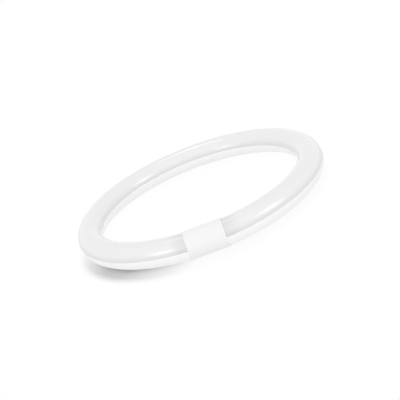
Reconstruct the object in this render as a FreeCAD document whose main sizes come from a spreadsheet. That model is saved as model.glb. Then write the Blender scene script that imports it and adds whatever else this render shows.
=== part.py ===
import FreeCAD, Part
import math
import os
import Sketcher

# A ring-shaped LED lamp in the format of a 300 mm circular tube with a four-pin cap.
# Millimetres. The ring lies flat: Z is its axis and Z = 0 is the surface that it rests on.
# The cap is at -Y, and its pins point along +Y, to the ring's centre.

doc = FreeCAD.newDocument("ring_lamp")
sheet = doc.addObject("Spreadsheet::Sheet", "size")

# The driving dimensions
SIZES = {
    "outer_diameter": "300",
    "tube_diameter": "30",
    "base_wall": "1.8",
    "rim_thickness": "0.8",
    "rim_bevel": "0.2",
    "lap_depth": "2.5",
    "diffuser_inset": "0.3",
    "fit_clearance": "0.15",
    "rib_spacing": "11",
    "rib_thickness": "1.2",
    "seat_depth": "6",
    "neck_length": "7",
    "neck_wall": "1.4",
    "cap_length": "43",
    "cap_proud": "0.6",
    "cap_wall": "1.4",
    "cap_edge_round": "0.5",
    "cap_seam_bevel": "0.25",
    "tongue_height": "1.2",
    "tongue_thickness": "0.6",
    "pin_block_length": "24",
    "pin_block_height": "16",
    "pin_block_reach": "1.4",
    "pin_block_depth": "2.4",
    "pin_block_round": "0.8",
    "pin_spacing_along": "7.92",
    "pin_spacing_across": "6.35",
    "pin_diameter": "2.35",
    "pin_root_diameter": "2.9",
    "pin_length": "7",
    "pin_tip_round": "0.8",
    "pin_clearance": "0.05",
    "collar_diameter": "3.6",
    "collar_thickness": "0.8",
    "tail_diameter": "1.2",
    "tail_beyond_board": "1",
    "led_board_width": "14",
    "led_board_thickness": "1",
    "led_board_gap": "2",
    "led_board_margin": "4",
    "led_width": "2.8",
    "led_length": "3.5",
    "led_height": "0.7",
    "led_frame": "0.35",
    "led_window_depth": "0.15",
    "link_length": "5",
    "link_width": "4",
    "link_height": "1.5",
    "link_offset": "4.5",
    "screw_offset": "4.4",
    "screw_diameter": "1.7",
    "screw_length": "6",
    "screw_head_diameter": "3.4",
    "screw_head_height": "1.1",
    "boss_diameter": "3.8",
    "hole_clearance": "0.1",
    "driver_height": "18",
    "driver_thickness": "1.2",
    "driver_end_inset": "2.5",
    "part_offset_along": "10.5",
    "part_offset_up": "3.5",
    "part_offset_down": "5",
    "edge_part_offset": "6.7",
    "capacitor_diameter": "8",
    "capacitor_length": "11",
    "capacitor_groove": "0.4",
    "inductor_diameter": "7.5",
    "inductor_length": "8",
    "inductor_flange": "1.2",
    "inductor_waist": "5.8",
    "bridge_length": "4.7",
    "bridge_width": "3.8",
    "bridge_height": "2.4",
    "chip_length": "4.9",
    "chip_width": "3.9",
    "chip_height": "1.5",
    "leg_width": "0.4",
    "leg_thickness": "0.3",
    "leg_reach": "1",
    "leg_pitch": "1.27",
    "bridge_leg_pitch": "2.54",
    "fuse_diameter": "2.6",
    "fuse_waist": "2.2",
    "fuse_length": "7",
    "fuse_end_length": "1.4",
    "film_length": "7",
    "film_width": "2.5",
    "film_height": "5",
    "film_round": "0.4",
    "lead_diameter": "1.2",
    "lead_bend": "3",
    "lead_drop": "3.5",
    "lead_inset": "3",
    "lead_overlap": "3",
}

# What repeats
BOARDS = 4
LEDS_PER_BOARD = 24
SCREWS_PER_BOARD = 2
CHIP_LEGS = 4
BRIDGE_LEGS = 2

for row, (alias, number) in enumerate(SIZES.items(), start=1):
    sheet.set(f"A{row}", alias)
    sheet.set(f"B{row}", number)
    sheet.setAlias(f"B{row}", alias)
doc.recompute()

# Formulas that several pieces share, in the ring's own section
RING = "((size.outer_diameter - size.tube_diameter) / 2)"
TUBE = "(size.tube_diameter / 2)"
CHANNEL = f"({TUBE} - size.base_wall)"
SKIN = f"({TUBE} - size.diffuser_inset)"
RIM_INSIDE = f"({TUBE} - size.rim_thickness)"
SKIRT = f"({RIM_INSIDE} - size.fit_clearance)"
LEDGE_DEPTH = "(size.lap_depth + size.fit_clearance)"
CAP = f"({TUBE} + size.cap_proud)"
BORE = f"({CAP} - size.cap_wall)"
NECK = f"({BORE} - size.fit_clearance)"
NECK_INSIDE = f"({NECK} - size.neck_wall)"

# Heights and places of the cap, whose axis is the chord between the ring's two ends
AXIS_Z = CAP
CHORD = f"sqrt({RING} ^ 2 - (size.cap_length / 2) ^ 2)"
RING_END = "(size.cap_length / 2 + size.fit_clearance)"
NECK_END = "(size.cap_length / 2 - size.neck_length)"
SEAT_Z = f"({AXIS_Z} - size.seat_depth)"
BOARD_TOP_Z = f"({SEAT_Z} + size.led_board_thickness)"

# Distances from the cap's axis towards the ring's centre
BLOCK_INSIDE = f"({BORE} - size.pin_block_depth)"
BLOCK_FACE = f"({CAP} + size.pin_block_reach)"
DRIVER_FRONT = f"sqrt(({NECK_INSIDE} - size.fit_clearance) ^ 2 - (size.driver_height / 2) ^ 2)"
DRIVER_BACK = f"({DRIVER_FRONT} - size.driver_thickness)"
DRIVER_LENGTH = "(size.cap_length - 2 * size.driver_end_inset)"

# Angles around the ring, counted from the cap
FIRST_ANGLE = (
    f"asin((size.cap_length / 2 + size.led_board_margin) / ({RING} - size.led_board_width / 2))"
)
BOARD_STEP = f"((360 deg - 2 * {FIRST_ANGLE}) / {BOARDS})"
BOARD_SPAN = f"({BOARD_STEP} - size.led_board_gap / {RING} * 180 deg / pi)"
SCREW_STEP = f"({BOARD_STEP} / {SCREWS_PER_BOARD})"
LED_STEP = f"({BOARD_SPAN} / {LEDS_PER_BOARD})"

pieces = []


def value(formula):
    """The number that a formula of sizes gives now."""
    result = sheet.evalExpression(formula)
    return float(getattr(result, "Value", result))


def new_body(label):
    """An empty piece, named for its file."""
    body = doc.addObject("PartDesign::Body", label)
    body.Label = label
    pieces.append(body)
    return body


def origin_part(body, role):
    """A plane or an axis of the piece's own origin."""
    return next(item for item in body.Origin.OriginFeatures if item.Role == role)


def place(item, x="0", y="0", z="0", turn=None):
    """Puts a piece at a point, turned about Z."""
    item.setExpression("Placement.Base.x", x)
    item.setExpression("Placement.Base.y", y)
    item.setExpression("Placement.Base.z", z)
    if turn:
        item.setExpression("Placement.Rotation.Angle", turn)


def new_sketch(body, role, offset="0"):
    """A sketch on an origin plane of the piece, or at a distance along its normal."""
    sketch = body.newObject("Sketcher::SketchObject", body.Label + "_sketch")
    sketch.AttachmentSupport = [(origin_part(body, role), "")]
    sketch.MapMode = "FlatFace"
    sketch.setExpression("AttachmentOffset.Base.z", offset)
    return sketch


def dimension(sketch, kind, formula, *points):
    """One dimension of a sketch, bound to its formula."""
    index = sketch.addConstraint(Sketcher.Constraint(kind, *points, value(formula)))
    sketch.setExpression(f"Constraints[{index}]", formula)


def fix_point(sketch, edge, end, x, y):
    """Holds an edge's end, or its centre, at a place in the sketch."""
    dimension(sketch, "DistanceX", x, -1, 1, edge, end)
    dimension(sketch, "DistanceY", y, -1, 1, edge, end)


def draw_side(sketch, start, finish, arc):
    """A straight side, or an arc about a centre. Gives its number and which end is first."""
    if arc is None:
        return sketch.addGeometry(Part.LineSegment(start, finish)), 1, 2
    centre_x, centre_y, way = arc
    centre = FreeCAD.Vector(value(centre_x), value(centre_y), 0)
    first, last = (start, finish) if way == "left" else (finish, start)
    angles = [math.atan2(point.y - centre.y, point.x - centre.x) for point in (first, last)]
    if angles[1] <= angles[0]:
        angles[1] += 2 * math.pi
    circle = Part.Circle(centre, FreeCAD.Vector(0, 0, 1), first.distanceToPoint(centre))
    edge = sketch.addGeometry(Part.ArcOfCircle(circle, *angles))
    return (edge, 1, 2) if way == "left" else (edge, 2, 1)


def path(sketch, corners, arcs=None, closed=True):
    """Draws sides from corner to corner. arcs gives a side's centre and the way it turns."""
    arcs = arcs or {}
    spots = [FreeCAD.Vector(value(x), value(y), 0) for x, y in corners]
    count = len(spots) if closed else len(spots) - 1
    sides = []
    for number in range(count):
        finish = spots[(number + 1) % len(spots)]
        sides.append(draw_side(sketch, spots[number], finish, arcs.get(number)))
    for number, (edge, first, last) in enumerate(sides):
        following = sides[(number + 1) % count]
        if closed or number < count - 1:
            sketch.addConstraint(Sketcher.Constraint("Coincident", edge, last, following[0], following[1]))
        fix_point(sketch, edge, first, *corners[number])
    if not closed:
        fix_point(sketch, sides[-1][0], sides[-1][2], *corners[-1])
    for number, (centre_x, centre_y, way) in arcs.items():
        start, finish = spots[number], spots[(number + 1) % len(spots)]
        across = abs(finish.x - start.x) > abs(finish.y - start.y)
        kind, formula = ("DistanceY", centre_y) if across else ("DistanceX", centre_x)
        dimension(sketch, kind, formula, -1, 1, sides[number][0], 3)


def rectangle(sketch, left, bottom, right, top):
    """A rectangle between two corners."""
    path(sketch, [(left, bottom), (right, bottom), (right, top), (left, top)])


def circle(sketch, x, y, radius):
    """A circle about a point."""
    centre = FreeCAD.Vector(value(x), value(y), 0)
    edge = sketch.addGeometry(Part.Circle(centre, FreeCAD.Vector(0, 0, 1), value(radius)))
    fix_point(sketch, edge, 3, x, y)
    dimension(sketch, "Radius", radius, edge)


def revolve(body, sketch, angle="360 deg", axis="V_Axis"):
    """Turns a sketch about one of its own axes, evenly to both sides."""
    feature = body.newObject("PartDesign::Revolution", body.Label + "_turned")
    feature.Profile = sketch
    feature.ReferenceAxis = (sketch, [axis])
    feature.Midplane = True
    feature.setExpression("Angle", angle)
    return feature


def pad(body, sketch, length, both_ways=False, backwards=False):
    """Raises a sketch along its normal."""
    feature = body.newObject("PartDesign::Pad", body.Label + "_raised")
    feature.Profile = sketch
    feature.Midplane = both_ways
    feature.Reversed = backwards
    feature.setExpression("Length", length)
    return feature


def cut_through(body, sketch):
    """Cuts a sketch out of everything above and below it."""
    feature = body.newObject("PartDesign::Pocket", body.Label + "_cut")
    feature.Profile = sketch
    feature.Type = "ThroughAll"
    feature.Midplane = True
    return feature


def cut_down(body, sketch, depth):
    """Cuts a sketch to a depth against its normal."""
    feature = body.newObject("PartDesign::Pocket", body.Label + "_hole")
    feature.Profile = sketch
    feature.setExpression("Length", depth)
    return feature


def repeat_round(body, features, count, step):
    """Repeats features about Z at equal steps."""
    feature = body.newObject("PartDesign::PolarPattern", body.Label + "_round")
    feature.Originals = features
    feature.Axis = (origin_part(body, "Z_Axis"), [""])
    feature.Occurrences = count
    feature.setExpression("Angle", f"{step} * {count - 1}")
    body.Tip = feature
    return feature


def repeat_along(body, features, count, pitch):
    """Repeats features along X at equal steps."""
    feature = body.newObject("PartDesign::LinearPattern", body.Label + "_along")
    feature.Originals = features
    feature.Direction = (origin_part(body, "X_Axis"), [""])
    feature.Occurrences = count
    feature.setExpression("Length", f"{pitch} * {count - 1}")
    body.Tip = feature
    return feature


def round_edges(body, base, chosen, radius):
    """Rounds those edges of a feature for which chosen says yes."""
    doc.recompute()
    names = [f"Edge{n}" for n, edge in enumerate(base.Shape.Edges, start=1) if chosen(edge)]
    feature = body.newObject("PartDesign::Fillet", body.Label + "_rounded")
    feature.Base = (base, names)
    feature.setExpression("Radius", radius)
    return feature


def cut_cap_gap(body):
    """Opens the ring where the cap goes, between two parallel ends."""
    sketch = new_sketch(body, "XY_Plane")
    rectangle(sketch, f"-{RING_END}", "-size.outer_diameter", RING_END, "-size.outer_diameter / 4")
    cut_through(body, sketch)


def add_necks(body, way):
    """Straight half-round necks, one at each end of the ring, that plug into the cap."""
    sketch = new_sketch(body, "YZ_Plane")
    back = "right" if way == "left" else "left"
    corners = [
        (f"-{CHORD} + {NECK}", AXIS_Z),
        (f"-{CHORD} - {NECK}", AXIS_Z),
        (f"-{CHORD} - {NECK_INSIDE}", AXIS_Z),
        (f"-{CHORD} + {NECK_INSIDE}", AXIS_Z),
    ]
    centre = (f"-{CHORD}", AXIS_Z)
    path(sketch, corners, {0: (*centre, way), 2: (*centre, back)})
    pad(body, sketch, f"2 * {RING_END}", both_ways=True)
    gap = new_sketch(body, "XY_Plane")
    rectangle(gap, f"-{NECK_END}", "-size.outer_diameter", NECK_END, "-size.outer_diameter / 4")
    cut_through(body, gap)


def add_ribs(body):
    """Two standing ribs round the channel, which carry the boards."""
    sketch = new_sketch(body, "XZ_Plane")
    foot = f"{AXIS_Z} - sqrt(({TUBE} - size.base_wall / 2) ^ 2 - (size.rib_spacing / 2) ^ 2)"
    for side in ("-", "+"):
        middle = f"{RING} {side} size.rib_spacing / 2"
        rectangle(
            sketch, f"{middle} - size.rib_thickness / 2", foot,
            f"{middle} + size.rib_thickness / 2", SEAT_Z,
        )
    revolve(body, sketch)


def add_bosses(body):
    """Screw bosses beside the outer rib, from the middle of the wall to the seat."""
    reach = f"({RING} + size.screw_offset)"
    angle = f"({FIRST_ANGLE} + {SCREW_STEP} / 2 - 90 deg)"
    spot = (f"{reach} * cos({angle})", f"{reach} * sin({angle})")
    wall_inside = f"sqrt({CHANNEL} ^ 2 - (size.screw_offset - size.boss_diameter / 2) ^ 2)"
    wall_outside = f"sqrt({TUBE} ^ 2 - (size.screw_offset + size.boss_diameter / 2) ^ 2)"
    depth = f"({wall_inside} + {wall_outside}) / 2"
    foot = new_sketch(body, "XY_Plane", f"{AXIS_Z} - {depth}")
    circle(foot, *spot, "size.boss_diameter / 2")
    boss = pad(body, foot, f"{depth} - size.seat_depth")
    mouth = new_sketch(body, "XY_Plane", SEAT_Z)
    circle(mouth, *spot, "size.screw_diameter / 2 + size.pin_clearance")
    hole = cut_down(body, mouth, "size.screw_length - size.led_board_thickness + size.hole_clearance")
    repeat_round(body, [boss, hole], BOARDS * SCREWS_PER_BOARD, SCREW_STEP)


def make_base_channel():
    """The lower half of the ring: a half-round trough with a thin rim that laps the diffuser."""
    body = new_body("base_channel")
    sketch = new_sketch(body, "XZ_Plane")
    ledge = f"sqrt({CHANNEL} ^ 2 - {LEDGE_DEPTH} ^ 2)"
    ledge_z = f"{AXIS_Z} - {LEDGE_DEPTH}"
    shoulder = f"sqrt({TUBE} ^ 2 - size.rim_bevel ^ 2)"
    shoulder_z = f"{AXIS_Z} - size.rim_bevel"
    corners = [
        (f"{RING} + {shoulder}", shoulder_z),
        (f"{RING} - {shoulder}", shoulder_z),
        (f"{RING} - {TUBE} + size.rim_bevel", AXIS_Z),
        (f"{RING} - {RIM_INSIDE}", AXIS_Z),
        (f"{RING} - {RIM_INSIDE}", ledge_z),
        (f"{RING} - {ledge}", ledge_z),
        (f"{RING} + {ledge}", ledge_z),
        (f"{RING} + {RIM_INSIDE}", ledge_z),
        (f"{RING} + {RIM_INSIDE}", AXIS_Z),
        (f"{RING} + {TUBE} - size.rim_bevel", AXIS_Z),
    ]
    path(sketch, corners, {0: (RING, AXIS_Z, "right"), 5: (RING, AXIS_Z, "left")})
    revolve(body, sketch)
    add_ribs(body)
    cut_cap_gap(body)
    add_necks(body, "right")
    add_bosses(body)


def make_diffuser():
    """The upper half of the ring: an arch with a skirt that tucks into the base's rim."""
    body = new_body("diffuser")
    sketch = new_sketch(body, "XZ_Plane")
    skirt_z = f"{AXIS_Z} - size.lap_depth"
    shoulder = f"sqrt({SKIN} ^ 2 - size.rim_bevel ^ 2)"
    shoulder_z = f"{AXIS_Z} + size.rim_bevel"
    corners = [
        (f"{RING} + {shoulder}", shoulder_z),
        (f"{RING} - {shoulder}", shoulder_z),
        (f"{RING} - {SKIN} + size.rim_bevel", AXIS_Z),
        (f"{RING} - {SKIRT}", AXIS_Z),
        (f"{RING} - {SKIRT}", skirt_z),
        (f"{RING} - {CHANNEL}", skirt_z),
        (f"{RING} - {CHANNEL}", AXIS_Z),
        (f"{RING} + {CHANNEL}", AXIS_Z),
        (f"{RING} + {CHANNEL}", skirt_z),
        (f"{RING} + {SKIRT}", skirt_z),
        (f"{RING} + {SKIRT}", AXIS_Z),
        (f"{RING} + {SKIN} - size.rim_bevel", AXIS_Z),
    ]
    path(sketch, corners, {0: (RING, AXIS_Z, "left"), 6: (RING, AXIS_Z, "right")})
    revolve(body, sketch)
    cut_cap_gap(body)
    add_necks(body, "left")


def is_cap_end_edge(edge):
    """Whether an edge is one of the arcs round the cap's two ends."""
    ends = [abs(abs(vertex.X) - value("size.cap_length / 2")) < 1e-3 for vertex in edge.Vertexes]
    curve = edge.Curve
    return all(ends) and isinstance(curve, Part.Circle) and abs(curve.Radius - value(CAP)) < 1e-3


def bevel_cap_seam(body, side):
    """Bevels a shell's outer edges along the joint of the cap, at its top and underneath."""
    sketch = new_sketch(body, "YZ_Plane")
    for way in ("+", "-"):
        lip = f"{AXIS_Z} {way} ({CAP} - size.cap_seam_bevel)"
        outside = f"{AXIS_Z} {way} ({CAP} + size.cap_seam_bevel)"
        far = f"-{CHORD} {side} 2 * size.cap_seam_bevel"
        path(sketch, [(f"-{CHORD}", lip), (f"-{CHORD}", outside), (far, outside)])
    cut_through(body, sketch)


def make_cap_outer_shell():
    """The half of the cap away from the ring's centre, with a tongue along both joints."""
    body = new_body("cap_outer_shell")
    sketch = new_sketch(body, "YZ_Plane")
    tongue = f"({BORE} + size.tongue_thickness)"
    tip = f"-{CHORD} + size.tongue_height"
    split = f"-{CHORD}"
    corners = [
        (split, f"{AXIS_Z} + {CAP}"),
        (split, f"{AXIS_Z} - {CAP}"),
        (split, f"{AXIS_Z} - {tongue}"),
        (tip, f"{AXIS_Z} - {tongue}"),
        (tip, f"{AXIS_Z} - {BORE}"),
        (split, f"{AXIS_Z} - {BORE}"),
        (split, f"{AXIS_Z} + {BORE}"),
        (tip, f"{AXIS_Z} + {BORE}"),
        (tip, f"{AXIS_Z} + {tongue}"),
        (split, f"{AXIS_Z} + {tongue}"),
    ]
    path(sketch, corners, {0: (split, AXIS_Z, "left"), 5: (split, AXIS_Z, "right")})
    shell = pad(body, sketch, "size.cap_length", both_ways=True)
    round_edges(body, shell, is_cap_end_edge, "size.cap_edge_round")
    bevel_cap_seam(body, "-")


def make_cap_inner_shell():
    """The half of the cap towards the ring's centre, with the block that holds the pins."""
    body = new_body("cap_inner_shell")
    sketch = new_sketch(body, "YZ_Plane")
    step = f"({BORE} + size.tongue_thickness + size.fit_clearance)"
    inset = "(size.tongue_height + size.fit_clearance)"
    bore_height = f"sqrt({BORE} ^ 2 - {inset} ^ 2)"
    split = f"-{CHORD}"
    corners = [
        (split, f"{AXIS_Z} - {CAP}"),
        (split, f"{AXIS_Z} + {CAP}"),
        (split, f"{AXIS_Z} + {step}"),
        (f"{split} + {inset}", f"{AXIS_Z} + {step}"),
        (f"{split} + {inset}", f"{AXIS_Z} + {bore_height}"),
        (f"{split} + {inset}", f"{AXIS_Z} - {bore_height}"),
        (f"{split} + {inset}", f"{AXIS_Z} - {step}"),
        (split, f"{AXIS_Z} - {step}"),
    ]
    path(sketch, corners, {0: (split, AXIS_Z, "left"), 4: (split, AXIS_Z, "right")})
    shell = pad(body, sketch, "size.cap_length", both_ways=True)
    round_edges(body, shell, is_cap_end_edge, "size.cap_edge_round")
    bevel_cap_seam(body, "+")

    block = new_sketch(body, "XZ_Plane", f"{CHORD} - {BLOCK_INSIDE}")
    half_length, half_height = "size.pin_block_length / 2", "size.pin_block_height / 2"
    rectangle(
        block, f"-{half_length}", f"{AXIS_Z} - {half_height}",
        half_length, f"{AXIS_Z} + {half_height}",
    )
    shell = pad(body, block, f"{BLOCK_FACE} - {BLOCK_INSIDE}", backwards=True)

    def is_block_edge(edge):
        """Whether an edge is on the block's face, or is one of its four corners outside."""
        face = value(f"-{CHORD} + {BLOCK_FACE}")
        on_face = [abs(vertex.Y - face) < 1e-3 for vertex in edge.Vertexes]
        corner = [
            abs(abs(vertex.X) - value(half_length)) < 1e-3
            and abs(abs(vertex.Z - value(AXIS_Z)) - value(half_height)) < 1e-3
            for vertex in edge.Vertexes
        ]
        return all(on_face) or (any(on_face) and all(corner))

    round_edges(body, shell, is_block_edge, "size.pin_block_round")

    holes = new_sketch(body, "XZ_Plane", CHORD)
    for x, z in pin_places():
        circle(holes, x, f"{AXIS_Z} + {z}", "size.pin_root_diameter / 2 + size.pin_clearance")
    cut_through(body, holes)


def pin_places():
    """Where the four pins stand, along the cap and across it."""
    along, across = "size.pin_spacing_along / 2", "size.pin_spacing_across / 2"
    return [(f"-{along}", across), (along, across), (f"-{along}", f"-{across}"), (along, f"-{across}")]


def make_contact_pins():
    """Four plated pins, each with a root and a collar in the block and a tail soldered to the driver."""
    tip = f"({BLOCK_FACE} + size.pin_length)"
    radius, root, tail = "size.pin_diameter / 2", "size.pin_root_diameter / 2", "size.tail_diameter / 2"
    collar, collar_back = "size.collar_diameter / 2", f"{BLOCK_INSIDE} - size.collar_thickness"
    tail_end = f"{DRIVER_BACK} - size.tail_beyond_board"
    crown = (f"{radius} - size.pin_tip_round", f"{tip} - size.pin_tip_round")
    corners = [
        ("0", tail_end),
        (tail, tail_end),
        (tail, collar_back),
        (collar, collar_back),
        (collar, BLOCK_INSIDE),
        (root, BLOCK_INSIDE),
        (root, BLOCK_FACE),
        (radius, BLOCK_FACE),
        (radius, crown[1]),
        (crown[0], tip),
        ("0", tip),
    ]
    for number, (x, z) in enumerate(pin_places(), start=1):
        body = new_body(f"contact_pin_{number}")
        sketch = new_sketch(body, "XY_Plane")
        path(sketch, corners, {8: (*crown, "left")})
        revolve(body, sketch)
        place(body, x, f"-{CHORD}", f"{AXIS_Z} + {z}")


def make_led_boards():
    """Arc-shaped aluminium boards on the ribs, with a row of LEDs on each."""
    reach = f"({RING} + size.screw_offset)"
    for number in range(BOARDS):
        turn = f"{FIRST_ANGLE} + {BOARD_STEP} * {number + 0.5} - 90 deg"
        board = new_body(f"led_board_{number + 1}")
        section = new_sketch(board, "XZ_Plane")
        half_width = "size.led_board_width / 2"
        rectangle(section, f"{RING} - {half_width}", SEAT_Z, f"{RING} + {half_width}", BOARD_TOP_Z)
        revolve(board, section, BOARD_SPAN)
        holes = new_sketch(board, "XY_Plane", SEAT_Z)
        for screw in range(SCREWS_PER_BOARD):
            angle = f"({SCREW_STEP} * {screw - (SCREWS_PER_BOARD - 1) / 2})"
            circle(
                holes, f"{reach} * cos({angle})", f"{reach} * sin({angle})",
                "size.screw_diameter / 2 + size.hole_clearance",
            )
        cut_through(board, holes)
        place(board, turn=turn)

        row = new_body(f"led_row_{number + 1}")
        footprint = new_sketch(row, "XY_Plane", BOARD_TOP_Z)
        rectangle(
            footprint, f"{RING} - size.led_width / 2", "-size.led_length / 2",
            f"{RING} + size.led_width / 2", "size.led_length / 2",
        )
        led = pad(row, footprint, "size.led_height")
        opening = new_sketch(row, "XY_Plane", f"{BOARD_TOP_Z} + size.led_height")
        across, along = "(size.led_width / 2 - size.led_frame)", "(size.led_length / 2 - size.led_frame)"
        rectangle(opening, f"{RING} - {across}", f"-{along}", f"{RING} + {across}", along)
        window = cut_down(row, opening, "size.led_window_depth")
        repeat_round(row, [led, window], LEDS_PER_BOARD, LED_STEP)
        place(row, turn=f"{turn} - {LED_STEP} * {(LEDS_PER_BOARD - 1) / 2}")


def make_board_links():
    """Small bridging connectors over the joints between the boards."""
    body = new_body("board_links")
    sketch = new_sketch(body, "XY_Plane", BOARD_TOP_Z)
    middle = f"{RING} - size.link_offset"
    rectangle(
        sketch, f"{middle} - size.link_width / 2", "-size.link_length / 2",
        f"{middle} + size.link_width / 2", "size.link_length / 2",
    )
    link = pad(body, sketch, "size.link_height")
    repeat_round(body, [link], BOARDS - 1, BOARD_STEP)
    place(body, turn=f"{FIRST_ANGLE} + {BOARD_STEP} - 90 deg")


def make_board_screws():
    """Screws that hold the boards to the bosses."""
    body = new_body("board_screws")
    middle = f"{RING} + size.screw_offset"
    heads = new_sketch(body, "XY_Plane", BOARD_TOP_Z)
    circle(heads, middle, "0", "size.screw_head_diameter / 2")
    head = pad(body, heads, "size.screw_head_height")
    shanks = new_sketch(body, "XY_Plane", BOARD_TOP_Z)
    circle(shanks, middle, "0", "size.screw_diameter / 2")
    shank = pad(body, shanks, "size.screw_length", backwards=True)
    repeat_round(body, [head, shank], BOARDS * SCREWS_PER_BOARD, SCREW_STEP)
    place(body, turn=f"{FIRST_ANGLE} + {SCREW_STEP} / 2 - 90 deg")


def make_driver_board():
    """The driver's circuit board, upright behind the pins, with its ends held in the necks."""
    body = new_body("driver_board")
    sketch = new_sketch(body, "XZ_Plane", f"{CHORD} - {DRIVER_FRONT}")
    half_length, half_height = f"{DRIVER_LENGTH} / 2", "size.driver_height / 2"
    rectangle(
        sketch, f"-{half_length}", f"{AXIS_Z} - {half_height}",
        half_length, f"{AXIS_Z} + {half_height}",
    )
    for x, z in pin_places():
        circle(sketch, x, f"{AXIS_Z} + {z}", "size.tail_diameter / 2 + size.hole_clearance")
    pad(body, sketch, "size.driver_thickness")


def place_on_driver(body, x, z):
    """Stands a component on the driver board's back, at a place along and up from its middle."""
    place(body, x, f"-{CHORD} + {DRIVER_BACK}", f"{AXIS_Z} + {z}")


def make_turned_component(label, corners, x, z):
    """A round component that stands out from the board."""
    body = new_body(label)
    sketch = new_sketch(body, "XY_Plane")
    path(sketch, corners)
    revolve(body, sketch)
    place_on_driver(body, x, z)


def make_legged_component(label, name, legs, pitch, x, z):
    """A moulded component with flat legs that come out of both long sides."""
    body = new_body(label)
    half_length, half_width = f"size.{name}_length / 2", f"size.{name}_width / 2"
    body_sketch = new_sketch(body, "XZ_Plane")
    rectangle(body_sketch, f"-{half_length}", f"-{half_width}", half_length, half_width)
    pad(body, body_sketch, f"size.{name}_height")
    strip = new_sketch(body, "XZ_Plane")
    first = f"-{pitch} * {(legs - 1) / 2}"
    rectangle(
        strip, f"{first} - size.leg_width / 2", f"-{half_width} - size.leg_reach",
        f"{first} + size.leg_width / 2", f"{half_width} + size.leg_reach",
    )
    leg = pad(body, strip, "size.leg_thickness")
    repeat_along(body, [leg], legs, pitch)
    place_on_driver(body, x, z)


def make_driver_components():
    """The parts of the driver: rectifier, capacitors, inductor, control chip and fuse."""
    right, left = "size.part_offset_along", "-size.part_offset_along"
    up, down = "size.part_offset_up", "-size.part_offset_down"
    can, groove = "size.capacitor_diameter / 2", "size.capacitor_groove"
    make_turned_component("reservoir_capacitor", [
        ("0", "0"),
        (can, "0"),
        (can, f"-{groove} * 2"),
        (f"{can} - {groove}", f"-{groove} * 3"),
        (can, f"-{groove} * 4"),
        (can, f"-size.capacitor_length + {groove}"),
        (f"{can} - {groove}", "-size.capacitor_length"),
        ("0", "-size.capacitor_length"),
    ], right, up)
    drum, waist = "size.inductor_diameter / 2", "size.inductor_waist / 2"
    far_flange = "-size.inductor_length + size.inductor_flange"
    make_turned_component("buck_inductor", [
        ("0", "0"),
        (drum, "0"),
        (drum, "-size.inductor_flange"),
        (waist, "-size.inductor_flange"),
        (waist, far_flange),
        (drum, far_flange),
        (drum, "-size.inductor_length"),
        ("0", "-size.inductor_length"),
    ], left, up)
    make_legged_component("driver_chip", "chip", CHIP_LEGS, "size.leg_pitch", left, down)
    make_legged_component("bridge_rectifier", "bridge", BRIDGE_LEGS, "size.bridge_leg_pitch", right, down)
    make_fuse_resistor()
    make_output_capacitor()


def make_fuse_resistor():
    """A wire-wound fuse resistor that lies along the board's upper edge."""
    body = new_body("fuse_resistor")
    sketch = new_sketch(body, "XY_Plane")
    end, knee = "size.fuse_length / 2", "(size.fuse_length / 2 - size.fuse_end_length)"
    barrel, waist = "size.fuse_diameter / 2", "size.fuse_waist / 2"
    corners = [
        (f"-{end}", "0"),
        (end, "0"),
        (end, barrel),
        (knee, barrel),
        (knee, waist),
        (f"-{knee}", waist),
        (f"-{knee}", barrel),
        (f"-{end}", barrel),
    ]
    path(sketch, corners)
    revolve(body, sketch, axis="H_Axis")
    place(body, "0", f"-{CHORD} + {DRIVER_BACK} - {barrel}", f"{AXIS_Z} + size.edge_part_offset")


def make_output_capacitor():
    """A film capacitor near the board's lower edge."""
    body = new_body("output_capacitor")
    sketch = new_sketch(body, "XZ_Plane")
    half_length, half_width = "size.film_length / 2", "size.film_width / 2"
    rectangle(sketch, f"-{half_length}", f"-{half_width}", half_length, half_width)
    case = pad(body, sketch, "size.film_height")
    round_edges(
        body, case,
        lambda edge: all(vertex.Y < -1e-3 for vertex in edge.Vertexes), "size.film_round",
    )
    place_on_driver(body, "0", "-size.edge_part_offset")


def make_led_leads():
    """Two short leads, from the driver to the first and the last board."""
    lead_z = f"{BOARD_TOP_Z} + size.lead_diameter / 2"
    start = f"({DRIVER_LENGTH} / 2 - size.lead_inset)"
    back = f"-{CHORD} + {DRIVER_BACK}"
    run = f"{back} - size.lead_drop"
    far = f"({RING_END} + size.led_board_margin + size.lead_overlap)"
    for label, side, way in (("led_lead_positive", "", "left"), ("led_lead_negative", "-", "right")):
        body = new_body(label)
        route = new_sketch(body, "XY_Plane", lead_z)
        bend_x = f"{side}({start} + size.lead_bend)"
        corners = [
            (f"{side}{start}", back),
            (f"{side}{start}", f"{run} + size.lead_bend"),
            (bend_x, run),
            (f"{side}{far}", run),
        ]
        path(route, corners, {1: (bend_x, f"{run} + size.lead_bend", way)}, closed=False)
        section = new_sketch(body, "XZ_Plane", f"-({back})")
        circle(section, f"{side}{start}", lead_z, "size.lead_diameter / 2")
        doc.recompute()
        lead = body.newObject("PartDesign::AdditivePipe", label + "_swept")
        lead.Profile = section
        lead.Spine = (route, ["Edge1", "Edge2", "Edge3"])


def check_pieces():
    """Stops unless every object is up to date and every piece is a valid solid."""
    for item in doc.Objects:
        if {"Invalid", "Error"} & set(item.State):
            raise RuntimeError(f"{item.Label} failed: {item.State}")
    for piece in pieces:
        if piece.Shape.isNull() or not piece.Shape.isValid() or not piece.Shape.Solids:
            raise RuntimeError(f"{piece.Label} has no valid solid")


make_base_channel()
make_diffuser()
make_led_boards()
make_board_links()
make_board_screws()
make_cap_outer_shell()
make_cap_inner_shell()
make_contact_pins()
make_driver_board()
make_driver_components()
make_led_leads()
doc.recompute()
check_pieces()

os.makedirs("parts", exist_ok=True)
for piece in pieces:
    piece.Shape.exportStep(f"parts/{piece.Label}.step")
    print(f"{piece.Label}: {len(piece.Shape.Solids)} solids, {piece.Shape.Volume:.1f} mm3")
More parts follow.
